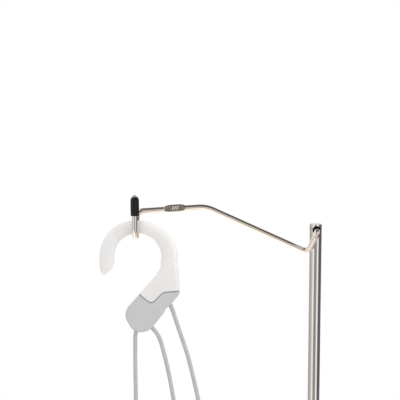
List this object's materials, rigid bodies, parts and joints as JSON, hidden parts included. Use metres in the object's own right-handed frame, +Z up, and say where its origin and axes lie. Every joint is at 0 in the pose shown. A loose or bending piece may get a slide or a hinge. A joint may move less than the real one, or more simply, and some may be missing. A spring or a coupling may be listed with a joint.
{
  "type": "valet stand",
  "caption": "Slim telescopic steel post on a round weighted base, with a bent wire arm whose upturned end carries a white moulded hook with hanging braided cords.",
  "frame": {"origin": "centre of the base's underside, on the post's axis", "axes": "+Z up along the post; the arm reaches along -X and the front faces -Y"},
  "size_m": [0.3737, 0.286, 1.1825],
  "materials": {
    "rubber": "matt moulded rubber",
    "cast_iron": "rough cast, black primer",
    "brushed_steel": "satin stainless",
    "polished_steel": "polished stainless tube",
    "polished_wire": "polished stainless wire",
    "zinc_steel": "zinc-plated steel",
    "black_plastic": "moulded, fine grain",
    "brass": "turned brass",
    "black_vinyl": "dipped soft vinyl, semi-gloss",
    "white_plastic": "milky translucent, satin gloss",
    "grey_plastic": "satin moulded grey",
    "braided_cord": "fine round polyester braid"
  },
  "bodies": {
    "base": {"base_pad": "rubber", "base_weight": "cast_iron", "base_cover": "brushed_steel", "base_bolt": "zinc_steel", "base_washer": "zinc_steel", "post_socket": "brushed_steel", "lower_tube": "polished_steel", "lower_tube_plug": "zinc_steel", "guide_bush": "black_plastic", "clamp_collar": "black_plastic"},
    "clamp_shoe": {"clamp_shoe": "brass"},
    "clamp_knob": {"clamp_screw": "zinc_steel", "clamp_knob": "black_plastic"},
    "upper_post": {"upper_tube": "polished_steel", "glide_plug": "black_plastic", "top_plug": "polished_steel"},
    "arm": {"arm_rod": "polished_wire", "arm_tip_cap": "black_vinyl", "arm_tail_cap": "black_vinyl"},
    "hanger": {"hook_body": "white_plastic", "housing_front": "grey_plastic", "housing_rear": "grey_plastic", "housing_screws": "zinc_steel", "cord_stops": "brass", "cord_left": "braided_cord", "cord_middle": "braided_cord", "cord_right": "braided_cord", "knot_left": "braided_cord", "knot_middle": "braided_cord", "knot_right": "braided_cord"}
  },
  "joints": [
    {"name": "post_height", "type": "slide", "parent": "base", "child": "upper_post", "axis": [0, 0, 1], "range_m": [0, 0.35]},
    {"name": "arm_tilt", "type": "hinge", "parent": "upper_post", "child": "arm", "pos_m": [0, 0, 1.143], "axis": [0, 1, 0], "range_deg": [0, 50]},
    {"name": "hanger_swing", "type": "hinge", "parent": "arm", "child": "hanger", "pos_m": [-0.1923, -0.0142, 1.1382], "axis": [0, -1, 0], "range_deg": [-35, 50]},
    {"name": "clamp_travel", "type": "slide", "parent": "base", "child": "clamp_shoe", "axis": [1, 0, 0], "range_m": [0, 0.0015]},
    {"name": "clamp_turn", "type": "hinge", "parent": "clamp_shoe", "child": "clamp_knob", "pos_m": [0, 0, 0.646], "axis": [1, 0, 0], "range_deg": [0, 540]}
  ],
  "couplings": [
    {"joint": "clamp_travel", "follows": "clamp_turn", "m_per_rad": 0.00015915}
  ]
}
